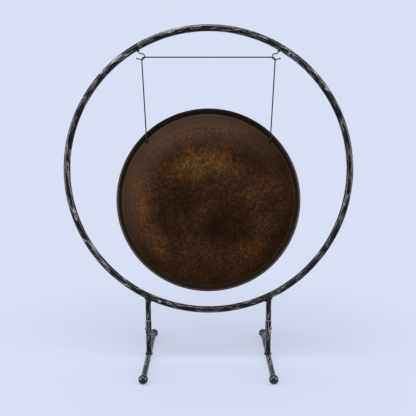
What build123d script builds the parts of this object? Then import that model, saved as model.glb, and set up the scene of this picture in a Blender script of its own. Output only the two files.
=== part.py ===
from build123d import *
import os
from math import atan2, cos, degrees, hypot, pi, radians, sin, sqrt, tan

# Tam tam gong hanging in a hoop stand.
# Frame: +X across the hoop, -Y towards the player, +Z up, floor at Z = 0. Sizes are in mm.
# The right half of the stand is modelled and mirrored. The plate is modelled upright and then
# hung on its cord at the angle where its centre of mass lies under the cord holes.

# ---------------------------------------------------------------- driving dimensions
# Hoop: one steel tube bent to a full circle and closed by a butt weld.
hoop_mean_radius = 458.0
hoop_tube_diameter = 22.0
hoop_tube_wall = 1.5
hoop_floor_clearance = 162.0  # under the hoop's lowest point
closing_weld_bearing = 33.6  # degrees from the top, clockwise seen from the front
closing_root_gap = 1.2
closing_weld_width = 7.0
closing_weld_crown = 0.8

# Posts: a stub welded under the hoop plugs into the sleeve of a lower post.
post_spacing = 404.0
post_diameter = 18.0
post_wall = 1.5
sleeve_wall = 1.0
sleeve_foot_height = 88.0
sleeve_length = 48.0
sleeve_overlap = 8.0  # length of lower post fixed in the foot of the sleeve
sleeve_clearance = 0.05
sleeve_lip_radius = 0.4  # on the outer edge of each end
post_end_gap = 1.0
cope_clearance = 0.3  # root gap at each coped end, covered by its weld
weld_leg = 3.5

# Screw that keeps each stub in its sleeve, on the outer side.
screw_above_sleeve_foot = 18.0
screw_shank_diameter = 4.0
screw_head_diameter = 7.6
screw_head_height = 2.2
screw_length = 8.0
screw_clearance = 0.1

# Feet: a bar front to back under each post, with a ball on each end.
foot_ball_spacing = 400.0
foot_bar_diameter = 18.0
foot_bar_wall = 1.5
ball_diameter = 30.0
ball_socket_depth = 9.0
ball_flat_diameter = 8.0
socket_clearance = 0.05

# Hooks: round wire bent to an open eye whose mouth looks outwards.
hook_bearing = 29.7  # degrees from the top of the hoop to each hook's root
hook_wire_diameter = 3.5
hook_eye_radius = 9.3
hook_eye_inward = 11.5  # from the hook's root to the middle of its eye
hook_eye_below = 18.3
hook_shank_bend_radius = 5.0
hook_tip_rise = 13.8  # degrees above level
hook_tip_length = 13.0
hook_tip_diameter = 5.4
hook_weld_radius = 4.6

# Gong: hammered bronze plate with a flat band near the edge and a rim turned back.
gong_diameter = 600.0
gong_thickness = 2.0
gong_crown = 5.0
gong_band_width = 12.0
gong_bend_radius = 7.0
gong_rim_depth = 46.0
gong_rim_taper = 4.0  # degrees inwards
cord_hole_diameter = 5.0
cord_hole_inset = 22.5  # from the plate's edge to each hole's centre
cord_hole_bearing = 45.6  # degrees from the top of the plate

# Cord: one closed loop of round cord that carries the gong.
cord_diameter = 4.0
cord_drop_height = 249.0  # between the two pivots of each drop
cord_wire_clearance = 0.4
cord_plate_clearance = 1.5
cord_hole_clearance = 0.3  # to the upper edge of the hole, which rests on the cord
cord_joint_clearance = 0.3
cord_hole_bend_radius = 4.0
cord_back_bend_radius = 3.0
cord_back_clearance = 1.5

# The cord's way through the right eye: how far across and up from the eye's middle.
cord_behind_eye = (-7.0, -1.5)
cord_inside_eye = (-3.0, -3.0)
cord_before_eye = (-1.2, -7.0)
cord_pivot_across = -0.7

# Knot that closes the loop behind the plate.
knot_diameter = 11.0
knot_length = 13.0
knot_offset = 26.0  # from the middle of the plate
knot_edge_radius = 3.0
knot_clearance = 0.05
knot_tail_length = 16.0
knot_tail_spacing = 6.0

# ---------------------------------------------------------------- places worked out from them
hoop_radius = hoop_tube_diameter / 2  # of the tube's section
hoop_inner_radius = hoop_mean_radius - hoop_radius
hoop_centre_height = hoop_floor_clearance + hoop_radius + hoop_mean_radius
hoop_plane = Plane(origin=(0, 0, hoop_centre_height), x_dir=(1, 0, 0), z_dir=(0, -1, 0))

post_x = post_spacing / 2
post_radius = post_diameter / 2
sleeve_radius = post_radius + sleeve_clearance + sleeve_wall
lower_post_top = sleeve_foot_height + sleeve_overlap
stub_foot_height = lower_post_top + post_end_gap
hoop_height_at_post = hoop_centre_height - sqrt(hoop_mean_radius**2 - post_x**2)
screw_height = sleeve_foot_height + screw_above_sleeve_foot

foot_bar_radius = foot_bar_diameter / 2
ball_radius = ball_diameter / 2
ball_y = foot_ball_spacing / 2
ball_height = sqrt(ball_radius**2 - (ball_flat_diameter / 2) ** 2)

hook_radial = Vector(sin(radians(hook_bearing)), 0, cos(radians(hook_bearing)))
hook_root = Vector(0, 0, hoop_centre_height) + hook_radial * hoop_inner_radius
eye = hook_root - Vector(hook_eye_inward, 0, hook_eye_below)

gong_radius = gong_diameter / 2
hole_circle_radius = gong_radius - cord_hole_inset
hole_x = hole_circle_radius * sin(radians(cord_hole_bearing))
hole_z = hole_circle_radius * cos(radians(cord_hole_bearing))

# The cord bears on the foot of each eye, in front of the wire, and hangs from there.
cord_radius = cord_diameter / 2
beside_wire = cord_radius + hook_wire_diameter / 2 + cord_wire_clearance
below_eye = hook_eye_radius + hook_wire_diameter / 2 + cord_radius
upper_pivot = eye + Vector(cord_pivot_across, -beside_wire, -below_eye)
lower_pivot = Vector(hole_x, upper_pivot.Y, upper_pivot.Z - cord_drop_height)

# The cord's way through the upright plate, in the plate's own frame.
cord_pass_z = hole_z + cord_hole_diameter / 2 - cord_hole_clearance - cord_radius
plate_pivot_y = -(cord_plate_clearance + cord_radius)
plate_pivot_z = cord_pass_z + cord_hole_bend_radius
behind_plate = gong_thickness + cord_radius + cord_back_clearance


# ---------------------------------------------------------------- helpers
def tube(outer_radius, wall, length):
    """Open tube along +Z that starts at the origin."""
    return extrude(Circle(outer_radius) - Circle(outer_radius - wall), length)


def rod(start, end, radius):
    """Solid round bar between two points."""
    start = Vector(*start)
    run = Vector(*end) - start
    return extrude(Plane(origin=start, z_dir=run) * Circle(radius), run.length)


def pipe_along(path, radius):
    """Solid of round section along a path."""
    section = Plane(origin=path @ 0, z_dir=path % 0) * Circle(radius)
    return sweep(section, path=path)


def upright_cylinder(radius, low, high):
    """Solid cylinder on the right post's axis between two heights."""
    return Pos(post_x, 0, low) * extrude(Circle(radius), high - low)


def fillet_where(solid, distances, radius):
    """Round the edges whose middle lies at each wanted (measure, distance)."""
    chosen = []
    for edge in solid.edges():
        middle = edge @ 0.5
        if all(abs(measure(middle) - wanted) < 0.01 for measure, wanted in distances):
            chosen.append(edge)
    return fillet(chosen, radius)


def from_post_axis(point):
    return hypot(point.X - post_x, point.Y)


def from_bar_axis(point):
    return hypot(point.X - post_x, point.Z - ball_height)


def from_hoop_line(point):
    return hypot(hypot(point.X, point.Z - hoop_centre_height) - hoop_mean_radius, point.Y)


# ---------------------------------------------------------------- hoop
def hoop_arc(outer_radius, inner_radius, bearing, angle):
    """Stretch of ring tube that starts at a bearing from the top and runs clockwise."""
    section = Pos(0, hoop_mean_radius) * Rot(0, 90, 0) * (Circle(outer_radius) - Circle(inner_radius))
    arc = revolve(section, Axis.Z, revolution_arc=angle)
    return hoop_plane * Rot(0, 0, -bearing - angle) * arc


def hoop_envelope(radius):
    """The whole ring, filled, at a given section radius."""
    return hoop_plane * Torus(hoop_mean_radius, radius)


gap_angle = degrees(closing_root_gap / hoop_mean_radius)
bead_angle = degrees(closing_weld_width / hoop_mean_radius)


def make_hoop_tube():
    start = closing_weld_bearing + gap_angle / 2
    return hoop_arc(hoop_radius, hoop_radius - hoop_tube_wall, start, 360 - gap_angle)


def make_closing_weld():
    """Butt weld that fills the root gap and stands a little proud all round."""
    root_start = closing_weld_bearing - gap_angle / 2
    root = hoop_arc(hoop_radius, hoop_radius - hoop_tube_wall, root_start, gap_angle)
    bead_start = closing_weld_bearing - bead_angle / 2
    bead = hoop_arc(hoop_radius + closing_weld_crown, hoop_radius, bead_start, bead_angle)
    return root + bead


# ---------------------------------------------------------------- hooks
def make_hook():
    """Shank along the hoop's radius, eye round its inner side, short rising tip with a ball end."""
    eye_top = eye + Vector(0, 0, hook_eye_radius)
    inside_hoop = hook_root + hook_radial * hoop_radius
    corner = hook_root - hook_radial * ((hook_root.Z - eye_top.Z) / hook_radial.Z)
    shank = FilletPolyline(inside_hoop, corner, eye_top, radius=hook_shank_bend_radius)
    rise = radians(hook_tip_rise)
    eye_side = eye - Vector(hook_eye_radius, 0, 0)
    eye_end = eye + Vector(sin(rise), 0, -cos(rise)) * hook_eye_radius
    bend = ThreePointArc(eye_top, eye_side, eye_end)
    tip = eye_end + Vector(cos(rise), 0, sin(rise)) * hook_tip_length
    path = Wire([*shank.edges(), bend.edge(), Edge.make_line(eye_end, tip)])
    wire = pipe_along(path, hook_wire_diameter / 2)
    wire += Pos(tip) * Sphere(hook_tip_diameter / 2)
    return wire - hoop_envelope(hoop_radius)


def make_hook_weld(hook):
    return Pos(hook_root) * Sphere(hook_weld_radius) - hoop_envelope(hoop_radius) - hook


# ---------------------------------------------------------------- posts
def screw_hole():
    """Cross hole from the post's axis outwards."""
    start = (post_x, 0, screw_height)
    end = (post_x + post_diameter, 0, screw_height)
    return rod(start, end, screw_shank_diameter / 2 + screw_clearance)


def make_upper_post():
    """Stub whose top is coped to the underside of the hoop."""
    length = hoop_height_at_post - stub_foot_height
    post = Pos(post_x, 0, stub_foot_height) * tube(post_radius, post_wall, length)
    return post - hoop_envelope(hoop_radius + cope_clearance) - screw_hole()


def make_post_weld():
    """Fillet weld round the coped stub."""
    low = stub_foot_height
    high = hoop_height_at_post - weld_leg / 2
    outer = post_radius + weld_leg
    bead = upright_cylinder(outer, low, high) & hoop_envelope(hoop_radius + weld_leg)
    bead -= hoop_envelope(hoop_radius)
    bead -= upright_cylinder(post_radius, low, hoop_height_at_post)
    crease = [(from_post_axis, outer), (from_hoop_line, hoop_radius + weld_leg)]
    return fillet_where(bead, crease, 0.6 * weld_leg)


def make_coupling_sleeve():
    sleeve = tube(sleeve_radius, sleeve_wall, sleeve_length)
    lips = sleeve.edges().filter_by(GeomType.CIRCLE).group_by(SortBy.RADIUS)[-1]
    sleeve = Pos(post_x, 0, sleeve_foot_height) * fillet(lips, sleeve_lip_radius)
    return sleeve - screw_hole()


def make_sleeve_screw():
    """Pan-head screw through the sleeve into the stub, its head curved to the sleeve below."""
    head_seat = post_x + sleeve_radius
    head_top = (head_seat + screw_head_height, 0, screw_height)
    head = rod((post_x, 0, screw_height), head_top, screw_head_diameter / 2)
    head = fillet(head.faces().sort_by(Axis.X)[-1].edges(), 0.6 * screw_head_height)
    low = screw_height - screw_head_diameter
    high = screw_height + screw_head_diameter
    head -= upright_cylinder(sleeve_radius, low, high)
    shank_end = (head_seat - screw_length, 0, screw_height)
    shank = rod(shank_end, (head_seat, 0, screw_height), screw_shank_diameter / 2)
    return head + shank


def make_lower_post():
    """Post whose foot is coped to the top of the foot bar."""
    post = Pos(post_x, 0, ball_height) * tube(post_radius, post_wall, lower_post_top - ball_height)
    return post - foot_bar_envelope(foot_bar_radius + cope_clearance)


def make_foot_weld():
    """Fillet weld round the foot of the lower post."""
    outer = post_radius + weld_leg
    high = ball_height + foot_bar_diameter
    bead = upright_cylinder(outer, ball_height, high)
    bead &= foot_bar_envelope(foot_bar_radius + weld_leg)
    bead -= foot_bar_envelope(foot_bar_radius)
    bead -= upright_cylinder(post_radius, ball_height, high)
    crease = [(from_post_axis, outer), (from_bar_axis, foot_bar_radius + weld_leg)]
    return fillet_where(bead, crease, 0.6 * weld_leg)


# ---------------------------------------------------------------- feet
def foot_bar_envelope(radius):
    return rod((post_x, -ball_y, ball_height), (post_x, ball_y, ball_height), radius)


def make_foot_bar():
    half = ball_y - ball_radius + ball_socket_depth
    start = Plane(origin=(post_x, -half, ball_height), z_dir=(0, 1, 0))
    return start * tube(foot_bar_radius, foot_bar_wall, 2 * half)


def make_ball(end):
    """Ball foot at the front (-1) or rear (+1), bored for the bar, with a small flat to stand on."""
    centre = Vector(post_x, end * ball_y, ball_height)
    ball = Pos(centre) * Sphere(ball_radius)
    socket_floor = centre - Vector(0, end * (ball_radius - ball_socket_depth), 0)
    socket_mouth = centre - Vector(0, end * ball_radius, 0)
    ball -= rod(socket_floor, socket_mouth, foot_bar_radius + socket_clearance)
    return ball - Pos(centre.X, centre.Y, -ball_radius) * Box(ball_diameter, ball_diameter, ball_diameter)


# ---------------------------------------------------------------- gong
def make_upright_plate():
    """Plate with its band on Y = 0, its centre on the Y axis and its rim towards +Y."""
    band_outer = gong_radius - gong_bend_radius
    band_inner = band_outer - gong_band_width
    crown_radius = (band_inner**2 + gong_crown**2) / (2 * gong_crown)
    halfway = band_inner / 2
    halfway_y = crown_radius - gong_crown - sqrt(crown_radius**2 - halfway**2)
    crown = ThreePointArc((0, -gong_crown), (halfway, halfway_y), (band_inner, 0))
    band = Line((band_inner, 0), (band_outer, 0))
    taper = radians(gong_rim_taper)
    bend_turn = radians(90) + taper
    bend_centre = Vector(band_outer, gong_bend_radius)
    bend_middle = bend_centre + Vector(sin(bend_turn / 2), -cos(bend_turn / 2)) * gong_bend_radius
    bend_end = bend_centre + Vector(sin(bend_turn), -cos(bend_turn)) * gong_bend_radius
    bend = ThreePointArc((band_outer, 0), bend_middle, bend_end)
    rim_length = (gong_rim_depth - bend_end.Y) / cos(taper)
    rim = Line(bend_end, bend_end + Vector(-sin(taper), cos(taper)) * rim_length)
    front = Wire([crown.edge(), band.edge(), bend.edge(), rim.edge()])
    section = make_face(offset(front, gong_thickness, side=Side.LEFT))
    plate = revolve(section, Axis.Y)
    for side in (-1, 1):
        start = (side * hole_x, -gong_rim_depth, hole_z)
        end = (side * hole_x, gong_rim_depth, hole_z)
        plate -= rod(start, end, cord_hole_diameter / 2)
    return plate


def hang_from_pivot(plate):
    """Move that carries the upright plate to where its centre of mass is under the pivot."""
    mass_centre = plate.center(CenterOf.MASS)
    lean = degrees(atan2(mass_centre.Y - plate_pivot_y, plate_pivot_z - mass_centre.Z))
    to_origin = Pos(0, -plate_pivot_y, -plate_pivot_z)
    return Pos(0, lower_pivot.Y, lower_pivot.Z) * Rot(-lean, 0, 0) * to_origin


# ---------------------------------------------------------------- cord
def soft_bends(points):
    """Bend radius at each inner point of a cord's route."""
    radii = []
    for before, here, after in zip(points, points[1:], points[2:]):
        into = Vector(*here) - Vector(*before)
        out = Vector(*after) - Vector(*here)
        half_turn = radians(into.get_angle(out)) / 2
        radii.append(0.45 * min(into.length, out.length) / tan(half_turn))
    return radii


def cord_along(name, route, radii, pivots):
    """Cord tube along a route, with a round end centred on each pivot."""
    path = FilletPolyline(*route, radius=radii)
    cord = pipe_along(path, cord_radius)
    share = cord.volume / (pi * cord_radius**2 * path.length)
    print(name, "length", round(path.length, 1), "bend radii", [round(r, 1) for r in radii])
    print(name, "volume over section times length", round(share, 4))
    for pivot in pivots:
        cord += Pos(pivot) * Sphere(cord_radius)
    return cord


def both_sides(right_points):
    """Route across the stand: the right half's points in reverse order on the left, then the right."""
    left_points = [(-x, y, z) for x, y, z in reversed(right_points)]
    return left_points + right_points


def make_cord_top_span():
    """Level behind the eyes, forward through each eye, and down in front of its foot."""
    right = [
        (eye.X + cord_behind_eye[0], beside_wire, eye.Z + cord_behind_eye[1]),
        (eye.X + cord_inside_eye[0], 0, eye.Z + cord_inside_eye[1]),
        (eye.X + cord_before_eye[0], -beside_wire, eye.Z + cord_before_eye[1]),
        tuple(upper_pivot),
    ]
    route = both_sides(right)
    return cord_along("cord_top_span", route, soft_bends(route), [route[0], route[-1]])


def make_cord_drop():
    """Straight run between the two pivots, just clear of the round cord ends there."""
    run = (lower_pivot - upper_pivot).normalized() * (cord_radius + cord_joint_clearance)
    return rod(upper_pivot + run, lower_pivot - run, cord_radius)


def make_cord_back_run():
    """In through one hole of the upright plate, level behind it and out through the other."""
    right = [
        (hole_x, behind_plate, cord_pass_z),
        (hole_x, plate_pivot_y, cord_pass_z),
        (hole_x, plate_pivot_y, plate_pivot_z + cord_joint_clearance),
    ]
    route = both_sides(right)
    radii = [cord_hole_bend_radius, cord_back_bend_radius]
    pivots = [(side * hole_x, plate_pivot_y, plate_pivot_z) for side in (-1, 1)]
    return cord_along("cord_back_run", route, radii + radii[::-1], pivots)


def make_cord_knot():
    """Overhand knot round the back run, with its two cut tails hanging."""
    start = Plane(origin=(knot_offset - knot_length / 2, behind_plate, cord_pass_z), z_dir=(1, 0, 0))
    knot = start * extrude(Circle(knot_diameter / 2), knot_length)
    knot = fillet(knot.edges().filter_by(GeomType.CIRCLE), knot_edge_radius)
    for side in (-1, 1):
        tail_x = knot_offset + side * knot_tail_spacing / 2
        tail_foot = cord_pass_z - knot_diameter / 2 - knot_tail_length
        tail = [(tail_x, behind_plate, z) for z in (cord_pass_z, tail_foot)]
        knot += rod(*tail, cord_radius)
    return knot - start * extrude(Circle(cord_radius + knot_clearance), knot_length)


# ---------------------------------------------------------------- nodes
def make_right_side():
    """The pieces that the stand has once on each side."""
    hook = make_hook()
    return {
        "hook": hook,
        "hook_weld": make_hook_weld(hook),
        "upper_post": make_upper_post(),
        "post_weld": make_post_weld(),
        "coupling_sleeve": make_coupling_sleeve(),
        "sleeve_screw": make_sleeve_screw(),
        "lower_post": make_lower_post(),
        "foot_weld": make_foot_weld(),
        "foot_bar": make_foot_bar(),
        "front_ball": make_ball(-1),
        "rear_ball": make_ball(1),
        "cord_drop": make_cord_drop(),
    }


def main():
    nodes = {
        "hoop_tube": make_hoop_tube(),
        "hoop_closing_weld": make_closing_weld(),
        "cord_top_span": make_cord_top_span(),
    }
    for name, solid in make_right_side().items():
        nodes["right_" + name] = solid
        nodes["left_" + name] = mirror(solid, about=Plane.YZ)
    plate = make_upright_plate()
    hang = hang_from_pivot(plate)
    nodes["gong_plate"] = hang * plate
    nodes["cord_back_run"] = hang * make_cord_back_run()
    nodes["cord_knot"] = hang * make_cord_knot()
    os.makedirs("parts", exist_ok=True)
    for name, solid in nodes.items():
        export_step(solid, f"parts/{name}.step")
    print("upper pivot", upper_pivot)
    print("lower pivot", lower_pivot)
    print("drop length", round((lower_pivot - upper_pivot).length, 1))


main()
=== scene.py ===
from bisect import bisect_right
from math import atan2, cos, hypot, pi, radians, sin, sqrt, tan

import bmesh
import bpy
from mathutils import Matrix, Quaternion, Vector, noise


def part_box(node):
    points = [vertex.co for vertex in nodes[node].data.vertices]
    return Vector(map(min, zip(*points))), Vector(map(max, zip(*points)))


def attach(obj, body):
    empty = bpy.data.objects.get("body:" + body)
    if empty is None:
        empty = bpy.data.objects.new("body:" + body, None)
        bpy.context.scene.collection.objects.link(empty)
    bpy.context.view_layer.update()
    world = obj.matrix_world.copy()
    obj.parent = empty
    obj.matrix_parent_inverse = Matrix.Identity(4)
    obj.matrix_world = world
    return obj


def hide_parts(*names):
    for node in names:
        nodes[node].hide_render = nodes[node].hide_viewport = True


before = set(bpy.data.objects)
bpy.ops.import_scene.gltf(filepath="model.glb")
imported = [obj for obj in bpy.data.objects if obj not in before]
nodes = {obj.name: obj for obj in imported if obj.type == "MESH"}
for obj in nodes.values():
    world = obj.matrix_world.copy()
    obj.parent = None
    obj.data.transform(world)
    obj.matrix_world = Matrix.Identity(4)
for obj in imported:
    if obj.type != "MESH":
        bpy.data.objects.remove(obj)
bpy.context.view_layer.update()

# Tam tam gong in its hoop stand. Everything is in metres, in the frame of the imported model:
# +X across the hoop, -Y towards the player, +Z up, floor at Z = 0.
MM = 0.001
SIDES = (("left", -1), ("right", 1))


# ================================================================ materials
def linear(hex_colour):
    """Linear RGBA of an sRGB hex colour."""
    values = [int(hex_colour[i : i + 2], 16) / 255 for i in (1, 3, 5)]
    return [v / 12.92 if v <= 0.04045 else ((v + 0.055) / 1.055) ** 2.4 for v in values] + [1.0]


def link(tree, source, socket):
    """Link a socket from another socket, or from a node's first output in use."""
    if isinstance(source, bpy.types.Node):
        source = next(output for output in source.outputs if output.enabled)
    tree.links.new(source, socket)


def add(tree, kind, links=None, inputs=None, stops=None, **settings):
    """New shader node: settings go to its properties, stops to its colour ramp, inputs to its sockets.

    Sockets go by name or by number. A MapRange has its value at 0, the range it comes from at 1 and 2
    and the one it goes to at 3 and 4. A Mix of colours has its share at 0 and its colours at 6 and 7.
    """
    node = tree.nodes.new("ShaderNode" + kind)
    for name, value in settings.items():
        setattr(node, name, value)
    for socket, value in (inputs or {}).items():
        node.inputs[socket].default_value = linear(value) if isinstance(value, str) else value
    for socket, source in (links or {}).items():
        link(tree, source, node.inputs[socket])
    for i, (position, colour) in enumerate(stops or []):
        elements = node.color_ramp.elements
        element = elements[i] if i < 2 else elements.new(position)
        element.position = position
        element.color = linear(colour) if isinstance(colour, str) else [colour] * 3 + [1.0]
    return node


def new_material(name, **values):
    """Material with a Principled shader whose sockets hold the given values."""
    material = bpy.data.materials.new(name)
    material.use_nodes = True
    shader = material.node_tree.nodes["Principled BSDF"]
    for socket, value in values.items():
        shader.inputs[socket.replace("_", " ")].default_value = value
    return material, material.node_tree, shader.inputs


def cells(*sizes):
    """Scale for a Mapping node that gives a pattern cells of these sizes along X, Y and Z."""
    return [1 / size for size in sizes]


# Strokes in the lacquer, each set wound round the bar at its own pitch.
# Each is (radians to the metre, length, spacing, half width in the noise, strength).
BRUSH_STROKES = [
    (3.0, 200 * MM, 7 * MM, 0.032, 0.7),
    (20.0, 150 * MM, 12 * MM, 0.028, 1.0),
    (-34.0, 130 * MM, 20 * MM, 0.022, 1.0),
]


def make_forged_lacquer():
    """Black lacquer on forged steel: near-black gloss, rubbed to grey steel in strokes and on ridges."""
    material, tree, skin = new_material(
        "black_lacquered_forged_steel", IOR=1.5, Specular_IOR_Level=0.18
    )
    along = add(tree, "Attribute", attribute_name="along").outputs["Vector"]
    ridge = add(tree, "Attribute", attribute_name="ridge").outputs["Fac"]
    run = add(tree, "SeparateXYZ", {0: along}).outputs["X"]
    # Stretches some 45 mm long where the strokes show, with black between them.
    stretch_size = add(tree, "Mapping", {0: along}, {"Scale": cells(45 * MM, 12 * MM, 12 * MM)})
    stretches = add(tree, "TexNoise", {"Vector": stretch_size}, {"Scale": 1.0, "Detail": 2.0})
    rubbed = add(tree, "Math", {0: ridge, 1: stretches}, operation="MULTIPLY")
    wear = add(tree, "ValToRGB", {0: rubbed}, stops=[(0.44, 0.0), (0.62, 0.5)])
    for pitch, length, spacing, half_width, strength in BRUSH_STROKES:
        turn = add(tree, "Math", {0: run}, {1: pitch}, operation="MULTIPLY")
        wound = add(tree, "VectorRotate", {"Vector": along, "Angle": turn}, rotation_type="X_AXIS")
        size = add(tree, "Mapping", {0: wound}, {"Scale": cells(length, spacing, spacing)})
        field = add(tree, "TexNoise", {"Vector": size}, {"Scale": 1.0, "Detail": 0.0})
        # A stroke runs wherever the noise passes through its middle value.
        stroke = [(0.5 - half_width, 0.0), (0.5, strength), (0.5 + half_width, 0.0)]
        lines = add(tree, "ValToRGB", {0: field}, stops=stroke)
        wear = add(tree, "Math", {0: wear, 1: lines}, operation="MAXIMUM")
    shown = add(tree, "MapRange", {0: stretches}, {1: 0.45, 2: 0.62})
    wear = add(tree, "Math", {0: wear, 1: shown}, operation="MULTIPLY")
    coat = add(tree, "ValToRGB", {0: stretches}, stops=[(0.35, "#040404"), (0.7, "#0a0908")])
    colour = add(tree, "Mix", {0: wear, 6: coat}, {7: "#8e8b87"}, data_type="RGBA")
    rough = add(tree, "ValToRGB", {0: stretches}, stops=[(0.3, 0.13), (0.7, 0.27)])
    # Drawing marks 250 mm long and 5 mm across, that comb the highlights into long streaks.
    comb_size = add(tree, "Mapping", {0: along}, {"Scale": cells(250 * MM, 5 * MM, 5 * MM)})
    combed = add(tree, "TexNoise", {"Vector": comb_size}, {"Scale": 1.0, "Detail": 0.0})
    bump = add(tree, "Bump", {"Height": combed}, {"Strength": 0.3, "Distance": 0.3 * MM})
    link(tree, colour, skin["Base Color"])
    link(tree, rough, skin["Roughness"])
    link(tree, bump, skin["Normal"])
    return material


def make_smooth_lacquer():
    """Black lacquer on turned steel: deep gloss with a faint orange-peel ripple 5 mm across."""
    material, tree, skin = new_material(
        "black_lacquered_turned_steel", IOR=1.5, Roughness=0.13, Specular_IOR_Level=0.42
    )
    place = add(tree, "TexCoord").outputs["Object"]
    peel = add(tree, "TexNoise", {"Vector": place}, {"Scale": 1 / (5 * MM), "Detail": 2.0})
    colour = add(tree, "ValToRGB", {0: peel}, stops=[(0.45, "#060606"), (0.78, "#1b1b1c")])
    bump = add(tree, "Bump", {"Height": peel}, {"Strength": 0.12, "Distance": 0.5 * MM})
    link(tree, colour, skin["Base Color"])
    link(tree, bump, skin["Normal"])
    return material


def make_sleeve_lacquer(low, high):
    """Black lacquer on a slip-over sleeve with a pale ring at each lip: partly rubbed bare, partly a
    painted highlight where the lips catch the light.
    """
    material, tree, skin = new_material(
        "black_lacquered_sleeve_worn_and_sheened_lips", IOR=1.5, Roughness=0.24, Specular_IOR_Level=0.25
    )
    place = add(tree, "TexCoord").outputs["Object"]
    height = add(tree, "SeparateXYZ", {0: place}).outputs["Z"]
    share = add(tree, "MapRange", {0: height}, {1: low, 2: high})
    # The pale lip rings are partly wear and partly a painted highlight.
    lip = 2.0 * MM / (high - low)
    at_lips = [(0.0, 1.0), (lip, 0.0), (1 - lip, 0.0), (1.0, 1.0)]
    rings = add(tree, "ValToRGB", {0: share}, stops=at_lips)
    scuff_size = {"Scale": 1 / (6 * MM), "Detail": 4.0, "Roughness": 0.7}
    scuff = add(tree, "TexNoise", {"Vector": place}, scuff_size)
    chance = add(tree, "ValToRGB", {0: scuff}, stops=[(0.36, 0.0), (0.56, 1.0)])
    worn = add(tree, "Math", {0: rings, 1: chance}, operation="MULTIPLY")
    # Strokes down the sleeve, 7 mm apart.
    stroke_size = add(tree, "Mapping", {0: place}, {"Scale": cells(7 * MM, 7 * MM, 150 * MM)})
    field = add(tree, "TexNoise", {"Vector": stroke_size}, {"Scale": 1.0, "Detail": 0.0})
    strokes = add(tree, "ValToRGB", {0: field}, stops=[(0.46, 0.0), (0.5, 0.6), (0.54, 0.0)])
    worn = add(tree, "Math", {0: worn, 1: strokes}, operation="MAXIMUM")
    colour = add(tree, "Mix", {0: worn}, {6: "#0c0b0a", 7: "#a8a5a1"}, data_type="RGBA")
    bump = add(tree, "Bump", {"Height": field}, {"Strength": 0.4, "Distance": 0.5 * MM})
    link(tree, colour, skin["Base Color"])
    link(tree, bump, skin["Normal"])
    return material


def make_weld_lacquer(name, crest_low, crest_high):
    """Black lacquer pooled over a weld bead: glossy, its ripples rubbed grey on their crests."""
    material, tree, skin = new_material(name, IOR=1.5, Roughness=0.28, Specular_IOR_Level=0.2)
    place = add(tree, "TexCoord").outputs["Object"]
    ripple_size = {"Scale": 1 / (4 * MM), "Detail": 3.0, "Roughness": 0.65}
    crests = add(tree, "TexNoise", {"Vector": place}, ripple_size)
    greys = [(crest_low, "#0b0a09"), (crest_high, "#a5a29e")]
    colour = add(tree, "ValToRGB", {0: crests}, stops=greys)
    link(tree, colour, skin["Base Color"])
    return material


def make_wire_enamel():
    """Thin black enamel on bent steel wire: satin, scuffed grey in specks 2 mm across."""
    material, tree, skin = new_material(
        "black_enamelled_steel_wire", IOR=1.5, Roughness=0.36, Specular_IOR_Level=0.2
    )
    place = add(tree, "TexCoord").outputs["Object"]
    scuff = add(tree, "TexNoise", {"Vector": place}, {"Scale": 1 / (2 * MM), "Detail": 3.0})
    colour = add(tree, "ValToRGB", {0: scuff}, stops=[(0.45, "#0b0b0b"), (0.85, "#3c3c3d")])
    link(tree, colour, skin["Base Color"])
    return material


def make_blackened_screw():
    """Blackened steel screw: dull dark metal, worn brighter in patches 2 mm across."""
    material, tree, skin = new_material("blackened_steel_screw", Roughness=0.4, Metallic=1.0)
    place = add(tree, "TexCoord").outputs["Object"]
    worn = add(tree, "TexNoise", {"Vector": place}, {"Scale": 1 / (2 * MM), "Detail": 3.0})
    colour = add(tree, "ValToRGB", {0: worn}, stops=[(0.35, "#1c1c1d"), (0.8, "#6a6b6d")])
    link(tree, colour, skin["Base Color"])
    return material


def make_laid_nylon():
    """Three-strand laid nylon cord: charcoal filaments with a soft sheen on the crowns, and painted
    shade near black down in the lay.
    """
    material, tree, skin = new_material(
        "charcoal_laid_nylon_cord", IOR=1.5, Roughness=0.8, Specular_IOR_Level=0.05
    )
    along = add(tree, "Attribute", attribute_name="along").outputs["Vector"]
    crown = add(tree, "Attribute", attribute_name="ridge").outputs["Fac"]
    # Filaments are far finer than a strand: drawn 0.5 mm wide so that they show at all.
    filament_size = add(tree, "Mapping", {0: along}, {"Scale": cells(4 * MM, 0.5 * MM, 0.5 * MM)})
    filaments = add(tree, "TexNoise", {"Vector": filament_size}, {"Scale": 1.0, "Detail": 2.0})
    tint = add(tree, "ValToRGB", {0: filaments}, stops=[(0.35, "#1a1918"), (0.7, "#343230")])
    # Painted shade: the lay between the strands is drawn near black.
    colour = add(tree, "Mix", {0: crown, 7: tint}, {6: "#0c0b0b"}, data_type="RGBA")
    bump = add(tree, "Bump", {"Height": filaments}, {"Strength": 0.4, "Distance": 0.2 * MM})
    link(tree, colour, skin["Base Color"])
    link(tree, bump, skin["Normal"])
    return material


# Arcs of the gong's face where the oxide is rubbed to ochre (above 0) or lies thick and dark (below 0).
# Each is (degrees clockwise from the top, radius, reach round in degrees, reach across, strength), its
# lengths as shares of the plate's radius.
PATINA_ARCS = [
    (350, 0.43, 75, 0.23, 0.32),
    (262, 0.72, 55, 0.18, 0.20),
    (218, 0.75, 30, 0.13, 0.10),
    (335, 0.81, 60, 0.20, 0.15),
    (60, 0.46, 35, 0.16, 0.05),
    (140, 0.68, 55, 0.16, 0.08),
    (170, 0.60, 35, 0.14, 0.06),
    (145, 0.28, 95, 0.32, -0.20),
    (265, 0.28, 60, 0.30, -0.14),
    (240, 0.52, 25, 0.14, -0.04),
    (305, 0.68, 25, 0.12, -0.04),
    (50, 0.68, 30, 0.14, -0.06),
    (115, 0.86, 45, 0.15, -0.05),
]
EASED = {"interpolation_type": "SMOOTHSTEP"}


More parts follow.
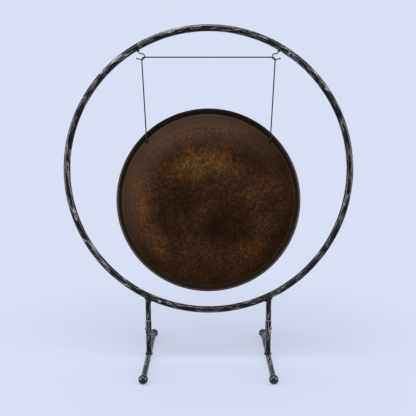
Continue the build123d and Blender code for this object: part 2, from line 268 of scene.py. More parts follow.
def oxide_colour(tree, flat, radius, clouds, grain):
    """Browns of the face, from the oxide where it lies thick to ochre where it is rubbed thin."""
    rubbed = add(tree, "MapRange", {0: clouds}, {1: 0.3, 2: 0.7, 3: 0.10, 4: 0.34})
    # It has settled thicker towards the band.
    settled = add(tree, "MapRange", {0: radius}, {1: 0.78, 2: 0.92, 3: 0.0, 4: -0.10}, **EASED)
    rubbed = add(tree, "Math", {0: rubbed, 1: settled}, operation="ADD")
    parts = add(tree, "SeparateXYZ", {0: flat}).outputs
    clock = add(tree, "Math", {0: parts["X"], 1: parts["Z"]}, operation="ARCTAN2")
    for degrees, middle, reach_round, reach_across, strength in PATINA_ARCS:
        off = add(tree, "Math", {0: clock}, {1: radians(degrees)}, operation="SUBTRACT")
        off = add(tree, "Math", {0: off}, {1: pi, 2: -pi}, operation="WRAP")
        spot = add(tree, "CombineXYZ", {0: off, 1: radius})
        shift = (0, -middle / reach_across, 0)
        scale = (1 / radians(reach_round), 1 / reach_across, 1)
        spot = add(tree, "Mapping", {0: spot}, {"Location": shift, "Scale": scale})
        away = add(tree, "VectorMath", {0: spot}, operation="LENGTH").outputs["Value"]
        arc = add(tree, "MapRange", {0: away}, {1: 0.0, 2: 1.0, 3: strength, 4: 0.0}, **EASED)
        rubbed = add(tree, "Math", {0: rubbed, 1: arc}, operation="ADD")
    flecks = add(tree, "MapRange", {0: grain}, {1: 0.3, 2: 0.7, 3: -0.27, 4: 0.29})
    # Where the oxide lies thick its grain is filled.
    filled = add(tree, "MapRange", {0: rubbed}, {1: 0.0, 2: 0.5, 3: 0.55, 4: 1.2})
    flecks = add(tree, "Math", {0: flecks, 1: filled}, operation="MULTIPLY")
    rubbed = add(tree, "Math", {0: rubbed, 1: flecks}, operation="ADD")
    browns = [(0.0, "#1c130b"), (0.25, "#301f12"), (0.55, "#4f3318"), (0.9, "#785224")]
    return add(tree, "ValToRGB", {0: rubbed}, stops=browns)


def with_painted_grey_sheen(tree, face, flat, radius, grain, turned):
    """The face with a painted grey sheen on the upper left of its outer zone, combed by the turning: a
    painted reflection of the softboxes.
    """
    outer = add(tree, "MapRange", {0: radius}, {1: 0.55, 2: 0.86}, **EASED)
    upper_left = {1: (-0.6, 0, 0.8)}
    facing = add(tree, "VectorMath", {0: flat}, upper_left, operation="DOT_PRODUCT").outputs["Value"]
    leaning = add(tree, "MapRange", {0: facing}, {1: -0.35, 2: 0.8}, **EASED)
    combed = add(tree, "MapRange", {0: turned}, {1: 0.35, 2: 0.65, 3: 0.20, 4: 0.40})
    # Painted sheen, strongest on the side that faces the key light.
    painted_sheen = add(tree, "Math", {0: outer, 1: leaning}, operation="MULTIPLY")
    painted_sheen = add(tree, "Math", {0: painted_sheen, 1: combed}, operation="MULTIPLY")
    pierced = add(tree, "MapRange", {0: grain}, {1: 0.35, 2: 0.65, 3: 1.3, 4: 0.7})
    painted_sheen = add(tree, "Math", {0: painted_sheen, 1: pierced}, operation="MULTIPLY")
    return add(tree, "Mix", {0: painted_sheen, 6: face}, {7: "#574639"}, data_type="RGBA")


def with_band_and_lip(tree, face, flat, radius, grain, plate):
    """The face with what lies round it: a lighter brown line on the ridge, the blackened band, then the
    lip; band and lip are painted lighter towards the foot.
    """
    ridge = plate["band_inner"] / plate["radius"]
    lip = plate["band_outer"] / plate["radius"]
    # All these widths are shares of the plate's radius.
    ridge_line = [(ridge - 0.009, 0.0), (ridge - 0.005, 0.5), (ridge, 0.0)]
    line = add(tree, "ValToRGB", {0: radius}, stops=ridge_line)
    face = add(tree, "Mix", {0: line, 6: face}, {7: "#5b3a1f"}, data_type="RGBA")
    band = add(tree, "ValToRGB", {0: radius}, stops=[(ridge - 0.002, 0.0), (ridge + 0.003, 1.0)])
    # Band and lip are painted lighter and greyer towards the plate's foot: a painted reflection of the
    # pale floor in their lower edge.
    foot = {1: (0.1, 0, -1.0)}
    floor_facing = add(tree, "VectorMath", {0: flat}, foot, operation="DOT_PRODUCT").outputs["Value"]
    floor_reflection = add(tree, "MapRange", {0: floor_facing}, {1: -0.8, 2: 0.7})
    band_tone = add(tree, "Mix", {0: floor_reflection}, {6: "#12100e", 7: "#201d1a"}, data_type="RGBA")
    face = add(tree, "Mix", {0: band, 6: face, 7: band_tone}, data_type="RGBA")
    lip_zone = add(tree, "ValToRGB", {0: radius}, stops=[(lip - 0.003, 0.0), (lip + 0.003, 1.0)])
    # The lip's bronze, painted near black at the top and light grey-brown towards the foot as a
    # reflection of the floor.
    lip_dark = add(tree, "ValToRGB", {0: grain}, stops=[(0.35, "#0c0a08"), (0.65, "#1c1611")])
    lip_reflecting = add(tree, "ValToRGB", {0: grain}, stops=[(0.35, "#504032"), (0.65, "#6a5643")])
    lip_tone = add(tree, "Mix", {0: floor_reflection, 6: lip_dark, 7: lip_reflecting}, data_type="RGBA")
    return add(tree, "Mix", {0: lip_zone, 6: face, 7: lip_tone}, data_type="RGBA")


def make_patinated_bronze(plate):
    """Hammered bronze under a dark brown oxide, mottled and rubbed to ochre, blackened on its band."""
    material, tree, skin = new_material(
        "brown_patinated_hammered_bronze", Metallic=0.85, Specular_IOR_Level=0.05
    )
    # The oxide is matt: it doesn't whiten when seen at a slant as clean metal would.
    skin["Specular Tint"].default_value = linear("#8a7765")
    on_plate = add(tree, "Attribute", attribute_name="on_plate").outputs["Vector"]
    to_share = {"Scale": 1 / plate["radius"]}
    share = add(tree, "VectorMath", {0: on_plate}, to_share, operation="SCALE")
    flat = add(tree, "VectorMath", {0: share}, {1: (1, 0, 1)}, operation="MULTIPLY")
    radius = add(tree, "VectorMath", {0: flat}, operation="LENGTH").outputs["Value"]
    # Oxide clouds are some 90 mm across and the grain on them 8 mm, down to 1 mm flecks.
    cloud_size = {"Scale": 1 / (90 * MM), "Detail": 4.0, "Roughness": 0.6}
    clouds = add(tree, "TexNoise", {"Vector": on_plate}, cloud_size)
    grain_size = {"Scale": 1 / (8 * MM), "Detail": 4.0, "Roughness": 0.75}
    grain = add(tree, "TexNoise", {"Vector": on_plate}, grain_size)
    # Turning marks left by the scraper: rings some 4 mm apart, 70 to the plate's radius.
    ring_count = {"Scale": 70.0, "Detail": 3.0}
    turned = add(tree, "TexNoise", {"W": radius}, ring_count, noise_dimensions="1D")

    face = oxide_colour(tree, flat, radius, clouds, grain)
    face = with_painted_grey_sheen(tree, face, flat, radius, grain, turned)
    colour = with_band_and_lip(tree, face, flat, radius, grain, plate)

    # Painted shade round the cord holes: a dark ring standing in for the shadowed bore and the dark cord
    # in it.
    for _, side in SIDES:
        hole = {1: (side * plate["hole_x"], 0, plate["hole_z"])}
        away = add(tree, "VectorMath", {0: on_plate}, hole, operation="DISTANCE").outputs["Value"]
        hole_shade = add(tree, "MapRange", {0: away}, {1: 4.0 * MM, 2: 6.5 * MM, 3: 1.0, 4: 0.0})
        colour = add(tree, "Mix", {0: hole_shade, 6: colour}, {7: "#0b0a09"}, data_type="RGBA")

    # The thick oxide on the far side and inside the rim is darker than the face.
    depth = add(tree, "SeparateXYZ", {0: on_plate}).outputs["Y"]
    rear = add(tree, "MapRange", {0: depth}, {1: 0.5 * MM, 2: 3 * MM})
    darker = {"data_type": "RGBA", "blend_type": "MULTIPLY"}
    colour = add(tree, "Mix", {0: rear, 6: colour}, {7: "#8a8078"}, **darker)

    rough = add(tree, "MapRange", {0: grain}, {1: 0.3, 2: 0.7, 3: 0.42, 4: 0.58})
    relief = add(tree, "Math", {0: grain, 1: turned}, operation="ADD")
    bump = add(tree, "Bump", {"Height": relief}, {"Strength": 0.3, "Distance": 0.4 * MM})
    link(tree, colour, skin["Base Color"])
    link(tree, rough, skin["Roughness"])
    link(tree, bump, skin["Normal"])
    return material


# ================================================================ shaping helpers
NEAR = 0.01 * MM  # points closer than this are one point
SHARP = radians(50)  # faces that meet at more than this keep a sharp edge between them


def new_object(name, data):
    """Object at the origin, in the scene."""
    thing = bpy.data.objects.new(name, data)
    bpy.context.scene.collection.objects.link(thing)
    return thing


def new_mesh(bm):
    """Mesh from a bmesh, which is used up."""
    mesh = bpy.data.meshes.new("shape")
    bm.to_mesh(mesh)
    bm.free()
    return mesh


def closed_mesh(bm):
    """Mesh from a closed bmesh, its faces turned outwards."""
    bmesh.ops.recalc_face_normals(bm, faces=bm.faces)
    return new_mesh(bm)


def finish_piece(name, mesh, material, body, replaced):
    """Piece at the origin, smooth between its sharp edges, riding on its body in place of CAD nodes."""
    mesh.name = name
    mesh.shade_smooth()
    mesh.set_sharp_from_angle(angle=SHARP)
    mesh.materials.clear()
    mesh.materials.append(material)
    piece = new_object(name, mesh)
    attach(piece, body)
    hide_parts(*replaced)


def dress(name, material):
    """Give a CAD node its finish."""
    nodes[name].data.materials.clear()
    nodes[name].data.materials.append(material)


def ring_path(centre, radius, first_angle):
    """Path once round a vertical ring, clockwise from an angle off the top as seen from the front."""

    def at(s):
        angle = first_angle + s / radius
        outward = Vector((sin(angle), 0, cos(angle)))
        return centre + outward * radius, outward, Vector((0, -1, 0))

    return at, 2 * pi * radius


def line_path(start, end):
    """Straight path, with two fixed directions across it."""
    run = end - start
    forward = run.normalized()
    across = forward.orthogonal().normalized()

    def at(s):
        return start + forward * s, across, forward.cross(across)

    return at, run.length


def smooth_line(points):
    """Line of many points along the smooth curve that has the given ones as its control points."""
    data = bpy.data.curves.new("route", "CURVE")
    data.dimensions = "3D"
    data.resolution_u = 12
    spline = data.splines.new("NURBS")
    spline.points.add(len(points) - 1)
    for point, place in zip(spline.points, points):
        point.co = (*place, 1)
    spline.order_u = 3
    spline.use_endpoint_u = True
    holder = bpy.data.objects.new("route", data)
    mesh = bpy.data.meshes.new_from_object(holder)
    same_place = 1e-7
    line = []
    for vertex in mesh.vertices:
        if not line or (vertex.co - line[-1]).length > same_place:
            line.append(vertex.co.copy())
    bpy.data.objects.remove(holder)
    bpy.data.meshes.remove(mesh)
    bpy.data.curves.remove(data)
    return line


def curve_path(points):
    """Path along a smooth curve, the directions across it carried along without a twist."""
    line = smooth_line(points)
    ends = [0.0]
    for before, after in zip(line, line[1:]):
        ends.append(ends[-1] + (after - before).length)
    forwards = [(after - before).normalized() for before, after in zip(line, line[1:])]
    forwards.append(forwards[-1])
    acrosses = [forwards[0].orthogonal().normalized()]
    for before, here in zip(forwards, forwards[1:]):
        turned = before.rotation_difference(here) @ acrosses[-1]
        acrosses.append((turned - here * turned.dot(here)).normalized())

    def at(s):
        i = bisect_right(ends, s, 1, len(ends) - 1) - 1
        share = (s - ends[i]) / (ends[i + 1] - ends[i])
        forward = forwards[i].lerp(forwards[i + 1], share).normalized()
        across = acrosses[i].lerp(acrosses[i + 1], share)
        across = (across - forward * across.dot(forward)).normalized()
        return line[i].lerp(line[i + 1], share), across, forward.cross(across)

    return at, ends[-1]


def bar_along(path, radius, around, step, surface):
    """Closed round bar along a path. surface(s, angle) gives the skin's depth there and its mark."""
    at, length = path
    steps = round(length / step)
    bm = bmesh.new()
    # A flat grid is rolled up into a straight tube, its seam joined and its ends closed.
    bmesh.ops.create_grid(bm, x_segments=around, y_segments=steps, size=1.0)
    for vert in bm.verts:
        angle = pi * (vert.co.x + 1)
        vert.co = (radius * cos(angle), radius * sin(angle), length * (vert.co.y + 1) / 2)
    bmesh.ops.remove_doubles(bm, verts=bm.verts, dist=NEAR)
    bmesh.ops.holes_fill(bm, edges=[edge for edge in bm.edges if edge.is_boundary], sides=around)
    along = bm.verts.layers.float_vector.new("along")
    ridge = bm.verts.layers.float.new("ridge")
    rings = [at(length * i / steps) for i in range(steps + 1)]
    for vert in bm.verts:
        x, y, s = vert.co
        depth, mark = surface(s, atan2(y, x))
        share = 1 - depth / radius
        place, across, up = rings[round(s / length * steps)]
        vert[along] = (s, x, y)
        vert[ridge] = mark
        vert.co = place + (across * x + up * y) * share
    return bm


def forged_surface(radius, seed):
    """Long shallow hammer facets that wind round a bar; the mark is 1 on the ridges between them."""
    facet_length = 36 * MM
    facet_width = 10.5 * MM
    facet_depth = 0.2 * MM
    facet_reach = 0.6  # in facets, as is the ridge's width
    ridge_width = 0.2
    twist = 9.0  # radians to the metre

    def surface(s, angle):
        turned = angle + twist * s
        across = radius / facet_width
        spot = Vector((s / facet_length, cos(turned) * across, sin(turned) * across + seed))
        near, second = noise.voronoi(spot)[0][:2]
        depth = facet_depth * max(0.0, 1 - (near / facet_reach) ** 2)
        return depth, max(0.0, 1 - (second - near) / ridge_width)

    return surface


def laid_surface(radius, lay_length, length):
    """Three strands laid together, both ends rounded; the mark is 1 on the crowns and 0 in the lay."""
    strands = 3
    groove = 0.16  # of the cord's radius
    tip = 0.05 * radius  # what is left of the radius at the very end

    def surface(s, angle):
        crown = abs(cos(strands / 2 * (angle - 2 * pi * s / lay_length)))
        short = max(0.0, radius - min(s, length - s))
        rounding = radius - sqrt(max(tip**2, radius**2 - short**2))
        return min(radius - tip, groove * radius * (1 - crown) + rounding), crown

    return surface


def box_middle(name):
    """Middle of a node's box."""
    low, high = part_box(name)
    return (low + high) / 2


# ================================================================ the stand
forged = make_forged_lacquer()
turned_black = make_smooth_lacquer()
weld_black = make_weld_lacquer("black_lacquered_weld_bead", 0.60, 0.90)
weld_rubbed = make_weld_lacquer("rubbed_black_lacquered_weld_bead", 0.42, 0.74)
wire_black = make_wire_enamel()
screw_black = make_blackened_screw()

hoop_low, hoop_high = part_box("hoop_tube")
hoop_centre = box_middle("hoop_tube")
hoop_tube_radius = (hoop_high.y - hoop_low.y) / 2
hoop_mean_radius = (hoop_high.z - hoop_low.z) / 2 - hoop_tube_radius

FORGED_STEP = 1.6 * MM  # from ring to ring of points along a forged bar
HOOP_AROUND = 40  # points round the hoop's tube
BAR_AROUND = 34  # points round a post or a foot bar
HOOP_SET_IN = 0.05 * MM  # the forged skin lies this far inside the plain hoop's
# Places in the pattern of hammer facets, so that no two bars repeat one another.
HOOP_SEED = 3.0
STUB_SEED = 10.0
POST_SEED = 20.0
BAR_SEED = 30.0


def finish_on_stand(name, bm, material, node):
    """Finish a black piece of the stand, in place of its CAD node."""
    finish_piece(name, closed_mesh(bm), material, "stand", [node])


def make_hoop():
    """The hoop's tube, its hammered skin beginning and ending under the closing weld."""
    weld = box_middle("hoop_closing_weld") - hoop_centre
    path = ring_path(hoop_centre, hoop_mean_radius, atan2(weld.x, weld.z))
    skin = forged_surface(hoop_tube_radius, HOOP_SEED)
    bm = bar_along(path, hoop_tube_radius - HOOP_SET_IN, HOOP_AROUND, FORGED_STEP, skin)
    finish_on_stand("hoop_forged", bm, forged, "hoop_tube")


def under_hoop(x, y):
    """Height of the hoop's underside above a point of the floor."""
    reach = hoop_mean_radius + sqrt(hoop_tube_radius**2 - y**2)
    return hoop_centre.z - sqrt(reach**2 - x**2)


def make_forged_post(name, node, foot, top, seed):
    """Forged upright in place of a CAD post. foot(x, y) and top(x, y) give the heights of its ends."""
    low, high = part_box(node)
    middle = (low + high) / 2
    radius = (high.y - low.y) / 2
    path = line_path(Vector((middle.x, middle.y, low.z)), Vector((middle.x, middle.y, high.z)))
    bm = bar_along(path, radius, BAR_AROUND, FORGED_STEP, forged_surface(radius, seed))
    for vert in bm.verts:
        share = (vert.co.z - low.z) / (high.z - low.z)
        x, y = vert.co.x, vert.co.y
        vert.co.z = foot(x, y) + share * (top(x, y) - foot(x, y))
    finish_on_stand(name, bm, forged, node)


def make_forged_foot_bar(name, node, seed):
    """Forged foot bar in place of the CAD one."""
    low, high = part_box(node)
    middle = (low + high) / 2
    radius = (high.x - low.x) / 2
    path = line_path(Vector((middle.x, low.y, middle.z)), Vector((middle.x, high.y, middle.z)))
    bm = bar_along(path, radius, BAR_AROUND, FORGED_STEP, forged_surface(radius, seed))
    finish_on_stand(name, bm, forged, node)


def make_leg(side, seed):
    """Uprights and foot bar of one side, each upright cut to fit the round bar that it meets."""
    stub, post, bar = [f"{side}_{node}" for node in ("upper_post", "lower_post", "foot_bar")]
    bar_low, bar_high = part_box(bar)
    bar_middle = (bar_low + bar_high) / 2
    bar_radius = (bar_high.x - bar_low.x) / 2
    stub_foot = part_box(stub)[0].z
    post_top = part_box(post)[1].z

    def over_bar(x, y):
        return bar_middle.z + sqrt(max(0.0, bar_radius**2 - (x - bar_middle.x) ** 2))

    make_forged_post(f"{side}_stub_forged", stub, lambda x, y: stub_foot, under_hoop, STUB_SEED + seed)
    make_forged_post(f"{side}_post_forged", post, over_bar, lambda x, y: post_top, POST_SEED + seed)
    make_forged_foot_bar(f"{side}_bar_forged", bar, BAR_SEED + seed)


# A hand welder's ripples: coarse ones, with finer ones half as high on them.
RIPPLE_SPACING = 3.2 * MM
FINE_RIPPLE_SPACING = 1.4 * MM
RIPPLE_HEIGHT = 0.35 * MM
BEAD_EDGE = 1.2 * MM  # longest edge in a bead's mesh
BEAD_PASSES = 6  # at most this many rounds of cutting the edges in two


def make_rippled_weld(node, material):
    """Weld bead in place of its plain CAD ring: the same form with ripples on it."""
    bm = bmesh.new()
    bm.from_mesh(nodes[node].data)
    bmesh.ops.remove_doubles(bm, verts=bm.verts, dist=NEAR)
    for _ in range(BEAD_PASSES):
        too_long = [edge for edge in bm.edges if edge.calc_length() > BEAD_EDGE]
        if not too_long:
            break
        bmesh.ops.subdivide_edges(bm, edges=too_long, cuts=1)
        bmesh.ops.triangulate(bm, faces=[face for face in bm.faces if len(face.verts) > 3])
    bm.normal_update()
    for vert in bm.verts:
        ripple = noise.noise(vert.co / RIPPLE_SPACING)
        ripple += 0.5 * noise.noise(vert.co / FINE_RIPPLE_SPACING)
        vert.co += vert.normal * (RIPPLE_HEIGHT * ripple)
    finish_on_stand(node + "_bead", bm, material, node)


make_hoop()
make_rippled_weld("hoop_closing_weld", weld_rubbed)
for seed, (side, _) in enumerate(SIDES):
    make_leg(side, seed)
    for name in ("hook_weld", "post_weld", "foot_weld"):
        make_rippled_weld(f"{side}_{name}", weld_black)
    sleeve_low, sleeve_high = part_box(side + "_coupling_sleeve")
    dress(side + "_coupling_sleeve", make_sleeve_lacquer(sleeve_low.z, sleeve_high.z))
    dress(side + "_front_ball", turned_black)
    dress(side + "_rear_ball", turned_black)
    dress(side + "_hook", wire_black)
    dress(side + "_sleeve_screw", screw_black)


# ================================================================ the gong
# Hammering of the face: small dents over slow waves, and a turned ridge just inside the band.
DENT_SPACING = 26 * MM
DENT_DEPTH = 0.22 * MM
DENT_REACH = 0.55  # of the spacing
WAVE_LENGTH = 75 * MM
WAVE_HEIGHT = 0.5 * MM
WAVE_LAYER = 5 * MM  # where the waves are taken from their pattern
RIDGE_HEIGHT = 0.5 * MM
RIDGE_REACH = 2 * MM
STILL_ZONE = 15 * MM  # towards the band, over which the hammering dies away

# Points and cuts of the plate's mesh, and the drill for its holes.
PLATE_AROUND = 320
FACE_CUTS = 78
RIDGE_CUTS = 11
BEND_SEGMENTS = 8
DRILL_AROUND = 28
DRILL_LENGTH = 20 * MM

# The cord holes' middles across and up from the plate's middle, in millimetres.
HOLE_X = 198.27
HOLE_Z = 194.36


def plate_frame():
    """Place and sizes of the plate. In its own frame the band is on Y = 0 and the rim behind it."""
    mesh = nodes["gong_plate"].data
    facing = Vector((0, 0, 0))
    for face in mesh.polygons:
        if face.normal.y < -0.9:  # on the face, not on the rim
            facing += face.normal * face.area
    back = -facing.normalized()
    up = Vector((1, 0, 0)).cross(back)
    depths = [vertex.co.dot(back) for vertex in mesh.vertices]
    heights = [vertex.co.dot(up) for vertex in mesh.vertices]
    crown = 5 * MM
    radius = (max(heights) - min(heights)) / 2
    bend_radius = 7 * MM
    band_width = 12 * MM
    middle = back * (min(depths) + crown) + up * ((min(heights) + max(heights)) / 2)
    return {
        "place": Matrix.Translation(middle) @ Matrix.Rotation(atan2(back.z, back.y), 4, "X"),
        "radius": radius,
        "crown": crown,
        "bend_radius": bend_radius,
        "band_outer": radius - bend_radius,
        "band_inner": radius - bend_radius - band_width,
        "rim_depth": max(depths) - min(depths) - crown,
        "rim_taper": radians(4),
        "thickness": 2 * MM,
        "hole_x": HOLE_X * MM,
        "hole_z": HOLE_Z * MM,
        # Drawn narrower than the 5 mm bore, as a hole closed up round its 4 mm cord.
        "hole_radius": 1.95 * MM,
    }


def hammered(x, z, plate):
    """How far back the face lies at a point inside the band: crown, turned ridge, dents and waves."""
    away = hypot(x, z)
    inner = plate["band_inner"]
    back = -plate["crown"] * max(0.0, 1 - (away / inner) ** 2)
    back -= RIDGE_HEIGHT * max(0.0, 1 - abs(away - inner + RIDGE_REACH) / RIDGE_REACH)
    fade = min(1.0, (inner - away) / STILL_ZONE)
    near = noise.voronoi(Vector((x, z, 0)) / DENT_SPACING)[0][0]
    dents = DENT_DEPTH * max(0.0, 1 - (near / DENT_REACH) ** 2)
    waves = WAVE_HEIGHT * noise.noise(Vector((x, z, WAVE_LAYER)) / WAVE_LENGTH)
    return back + fade * (dents + waves)


def spun_plate(plate):
    """The plate in its own frame: face and rim spun, the edge bent round, hammered, then thickened."""
    inner = plate["band_inner"]
    turn = pi / 2 + plate["rim_taper"]
    tangent = plate["bend_radius"] * tan(turn / 2)
    corner = plate["band_outer"] + tangent
    rim_foot = corner - plate["rim_depth"] * tan(plate["rim_taper"])
    fine_from, fine_to = inner - 8 * MM, inner + 4 * MM
    outline = [(radius, 0, 0) for radius in (0, fine_from, fine_to, corner)]
    outline.append((rim_foot, plate["rim_depth"], 0))
    bm = bmesh.new()
    verts = [bm.verts.new(point) for point in outline]
    edges = [bm.edges.new(pair) for pair in zip(verts, verts[1:])]
    # Rings are 3.5 mm apart over the face, and 1 mm apart from inside the ridge to a little past it.
    for edge, cuts in zip(edges, (FACE_CUTS, RIDGE_CUTS)):
        bmesh.ops.subdivide_edges(bm, edges=[edge], cuts=cuts)
    bmesh.ops.spin(
        bm,
        geom=bm.verts[:] + bm.edges[:],
        cent=(0, 0, 0),
        axis=(0, 1, 0),
        angle=2 * pi,
        steps=PLATE_AROUND,
        use_merge=True,
    )
    bmesh.ops.remove_doubles(bm, verts=bm.verts, dist=NEAR)
    bmesh.ops.recalc_face_normals(bm, faces=bm.faces)

    def on_corner(vert):
        return vert.co.y < NEAR and abs(hypot(vert.co.x, vert.co.z) - corner) < NEAR

    corner_edges = [edge for edge in bm.edges if all(on_corner(vert) for vert in edge.verts)]
    bmesh.ops.bevel(
        bm,
        geom=corner_edges,
        affect="EDGES",
        offset=tangent,
        segments=BEND_SEGMENTS,
        profile=0.5,
        material=-1,
    )
    for vert in bm.verts:
        if hypot(vert.co.x, vert.co.z) < inner:
            vert.co.y += hammered(vert.co.x, vert.co.z, plate)
    bmesh.ops.recalc_face_normals(bm, faces=bm.faces)
    bm.normal_update()
    # The open shell's face looks forwards before it gets its thickness.
    if sum(face.normal.y for face in bm.faces if face.calc_center_median().y < 0) > 0:
        bmesh.ops.reverse_faces(bm, faces=bm.faces)
    geometry = bm.faces[:] + bm.edges[:] + bm.verts[:]
    bmesh.ops.solidify(bm, geom=geometry, thickness=plate["thickness"])
    return bm


def bore_holes(blank, plate):
    """Mesh of the plate with its two cord holes cut through."""
    bm = bmesh.new()
    for _, side in SIDES:
        middle = Matrix.Translation((side * plate["hole_x"], 0, plate["hole_z"]))
        bmesh.ops.create_cone(
            bm,
            cap_ends=True,
            segments=DRILL_AROUND,
            radius1=plate["hole_radius"],
            radius2=plate["hole_radius"],
            depth=DRILL_LENGTH,
            matrix=middle @ Matrix.Rotation(pi / 2, 4, "X"),
        )
    drill = new_object("drill", new_mesh(bm))
    work = new_object("blank", blank)
    cut = work.modifiers.new("bore", "BOOLEAN")
    cut.operation = "DIFFERENCE"
    cut.solver = "EXACT"
    cut.object = drill
    depsgraph = bpy.context.evaluated_depsgraph_get()
    bored = bpy.data.meshes.new_from_object(work.evaluated_get(depsgraph))
    for helper in (work, drill):
        bpy.data.objects.remove(helper)
    return bored


def make_gong(plate):
    """The hammered plate. Each of its points keeps its place in the plate's own frame for the patina."""
    mesh = bore_holes(closed_mesh(spun_plate(plate)), plate)
    on_plate = mesh.attributes.new("on_plate", "FLOAT_VECTOR", "POINT")
    for vertex, item in zip(mesh.vertices, on_plate.data):
        item.vector = vertex.co
    mesh.transform(plate["place"])
    finish_piece("gong_hammered", mesh, make_patinated_bronze(plate), "gong", ["gong_plate"])


plate = plate_frame()
make_gong(plate)


# ================================================================ the cord
nylon = make_laid_nylon()
CORD_RADIUS = 2.0 * MM
CORD_STEP = 0.7 * MM
CORD_AROUND = 18
LAY_LENGTH = 13 * MM

# The middle of the cord, in millimetres: over the hooks from the middle outwards, down a drop, and
# behind the plate in the plate's own frame.
OVER_HOOKS = [
    (179.0, 4.15, 999.48),
    (202.97, 4.15, 999.48),
    (206.97, 0.0, 997.98),
    (208.77, -4.15, 993.98),
    (209.27, -4.15, 985.93),
]
DROP_TOP = (209.27, -4.15, 987.93)
DROP_FOOT = (198.27, -4.15, 738.93)
BEHIND_PLATE = [
    (189.0, 5.5, HOLE_Z),
    (HOLE_X, 5.5, HOLE_Z),
    (HOLE_X, -3.5, HOLE_Z),
    (HOLE_X, -3.5, 200.36),
]


def mirrored_route(points):
    """Route in metres from points of its right half in millimetres and their mirror images."""
    left = [(-x, y, z) for x, y, z in reversed(points)]
    return [Vector(point) * MM for point in left + points]


def laid_cord(name, path, body, node, place=None):
    """Laid cord along a path, its ends rounded, turned into place if one is given."""
    surface = laid_surface(CORD_RADIUS, LAY_LENGTH, path[1])
    bm = bar_along(path, CORD_RADIUS, CORD_AROUND, CORD_STEP, surface)
    if place:
        bmesh.ops.transform(bm, matrix=place, verts=bm.verts)
    finish_piece(name, closed_mesh(bm), nylon, body, [node])


def make_cords():
    """The loop in the pieces that move apart: over the hooks, down each side, and behind the plate."""
    path = curve_path(mirrored_route(OVER_HOOKS))
    laid_cord("cord_over_hooks", path, "stand", "cord_top_span")
    for side, sign in SIDES:
        top, foot = [Vector((sign * x, y, z)) * MM for x, y, z in (DROP_TOP, DROP_FOOT)]
        over = (top - foot).normalized() * CORD_RADIUS
        path = line_path(top + over, foot - over)
        laid_cord(f"{side}_cord_laid", path, "cord_drops", f"{side}_cord_drop")
    path = curve_path(mirrored_route(BEHIND_PLATE))
    laid_cord("cord_behind_plate", path, "gong", "cord_back_run", plate["place"])


def make_knot():
    """Knot that closes the loop: the cord wound round its own back run, both tails hanging behind."""
    knot_low, knot_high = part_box("cord_knot")
    middle = (knot_low.x + knot_high.x) / 2
    height = plate["hole_z"]
    depth = 5.5 * MM  # of the run it is wound round
    winding = 3.6 * MM
    pitch = 4.0 * MM
    turns = 2
    turn_points = 12
    first = middle - pitch * turns / 2
    last = middle + pitch * turns / 2
    tail_top = height - 7 * MM
    tail_foot = height - 21.5 * MM
    points = [
        Vector((first, depth + 0.5 * MM, tail_foot)),
        Vector((first, depth + 0.5 * MM, tail_top)),
    ]
    for i in range(turn_points * turns + 1):
        angle = 2 * pi * i / turn_points
        across = middle + pitch * (i / turn_points - turns / 2)
        points.append(Vector((across, depth + sin(angle) * winding, height - cos(angle) * winding)))
    points += [
        Vector((last, depth + 1.5 * MM, tail_top)),
        Vector((last + 1 * MM, depth + 1.0 * MM, tail_foot + 1.5 * MM)),
    ]
    laid_cord("cord_knot_tied", curve_path(points), "gong", "cord_knot", plate["place"])


make_cords()
make_knot()


# ================================================================ studio
BACKGROUND = "#d9e0f3"
FLOOR_RADIUS = 30.0
FLOOR_AROUND = 96
FLOOR_GLOW = 0.66  # share of the background's colour that the floor gives off near the gong
SHADOW_NEAR = 0.4  # distance at which the floor begins to pass into the background
SHADOW_FAR = 1.1  # distance from which it is all background
LAMP_TARGET = (0, 0, 0.6)
CAMERA_PLACE = (-0.0015, -2.051, 0.865)
CAMERA_DIP = 9.59  # degrees below level
CAMERA_LENS = 55.06  # in mm, on a sensor 36 mm wide

# Each is (name, place, width and height, radiance, roll in degrees).
SOFTBOXES = [
    ("key_overhead", (-0.25, -0.48, 2.6), (1.6, 0.3), 32.0, 0),
    ("rear_overhead", (0.0, 0.85, 2.3), (1.8, 0.35), 7.0, 0),
    ("left_softbox", (-2.2, -0.7, 0.75), (0.5, 1.2), 26.0, 0),
    ("right_softbox", (2.2, -0.7, 0.75), (0.5, 1.2), 21.0, 0),
    ("upper_left_strip", (-1.5, -1.2, 2.05), (1.3, 0.5), 13.0, 45),
    ("upper_right_strip", (1.5, -1.2, 2.05), (1.3, 0.5), 13.0, -45),
]


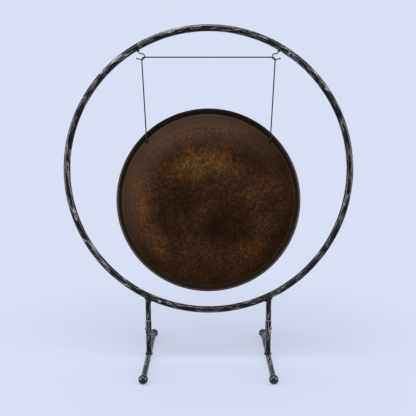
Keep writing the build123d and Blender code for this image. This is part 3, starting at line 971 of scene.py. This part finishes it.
def make_floor():
    """Pale floor that takes the object's shadow near it and passes into the background further out."""
    bm = bmesh.new()
    bmesh.ops.create_circle(bm, cap_ends=True, segments=FLOOR_AROUND, radius=FLOOR_RADIUS)
    mesh = new_mesh(bm)
    new_object("floor", mesh)
    material, tree, skin = new_material("pale_studio_floor", Roughness=0.9, Specular_IOR_Level=0.0)
    skin["Base Color"].default_value = linear("#9da2b3")
    place = add(tree, "TexCoord").outputs["Object"]
    away = add(tree, "VectorMath", {0: place}, operation="LENGTH").outputs["Value"]
    reach = {1: SHADOW_NEAR, 2: SHADOW_FAR, 3: FLOOR_GLOW, 4: 1.0}
    glowing = add(tree, "MapRange", {0: away}, reach, **EASED)
    glow = add(tree, "Emission", inputs={"Color": BACKGROUND, "Strength": 1.0})
    surface = tree.nodes["Principled BSDF"]
    blend = add(tree, "MixShader", {0: glowing, 1: surface, 2: glow})
    link(tree, blend, tree.nodes["Material Output"].inputs["Surface"])
    mesh.materials.append(material)


def make_world():
    """Pale surroundings: the background colour as seen and reflected, a softer light elsewhere."""
    world = bpy.data.worlds.new("studio")
    bpy.context.scene.world = world
    world.use_nodes = True
    tree = world.node_tree
    seen = tree.nodes["Background"]
    seen.inputs["Color"].default_value = linear(BACKGROUND)
    light = add(tree, "Background", inputs={"Color": "#e6e9f2", "Strength": 0.3})
    ray = add(tree, "LightPath").outputs
    looks = {0: ray["Is Camera Ray"], 1: ray["Is Glossy Ray"]}
    direct = add(tree, "Math", looks, operation="MAXIMUM")
    shown = add(tree, "Math", {0: direct, 1: ray["Is Transmission Ray"]}, operation="MAXIMUM")
    blend = add(tree, "MixShader", {0: shown, 1: light, 2: seen})
    link(tree, blend, tree.nodes["World Output"].inputs["Surface"])


def add_softbox(name, place, size, radiance, roll):
    """Softbox that faces the gong, rolled by an angle, seen in reflections at the given radiance."""
    lamp = bpy.data.lights.new(name, "AREA")
    lamp.shape = "RECTANGLE"
    lamp.size, lamp.size_y = size
    lamp.energy = radiance * pi * size[0] * size[1]
    holder = new_object(name, lamp)
    holder.location = place
    facing = (Vector(LAMP_TARGET) - Vector(place)).to_track_quat("-Z", "Y")
    holder.rotation_euler = (facing @ Quaternion((0, 0, 1), roll)).to_euler()
    holder.visible_camera = False


def add_camera():
    """Camera in front of the gong, a little above its middle, looking slightly down."""
    data = bpy.data.cameras.new("camera")
    data.sensor_width = 36.0
    data.lens = CAMERA_LENS
    camera = new_object("camera", data)
    camera.location = CAMERA_PLACE
    camera.rotation_euler = (radians(90 - CAMERA_DIP), 0, 0)
    bpy.context.scene.camera = camera


make_floor()
make_world()
for name, place, size, radiance, roll in SOFTBOXES:
    add_softbox(name, place, size, radiance, radians(roll))
add_camera()

bpy.context.scene.view_settings.view_transform = "Standard"
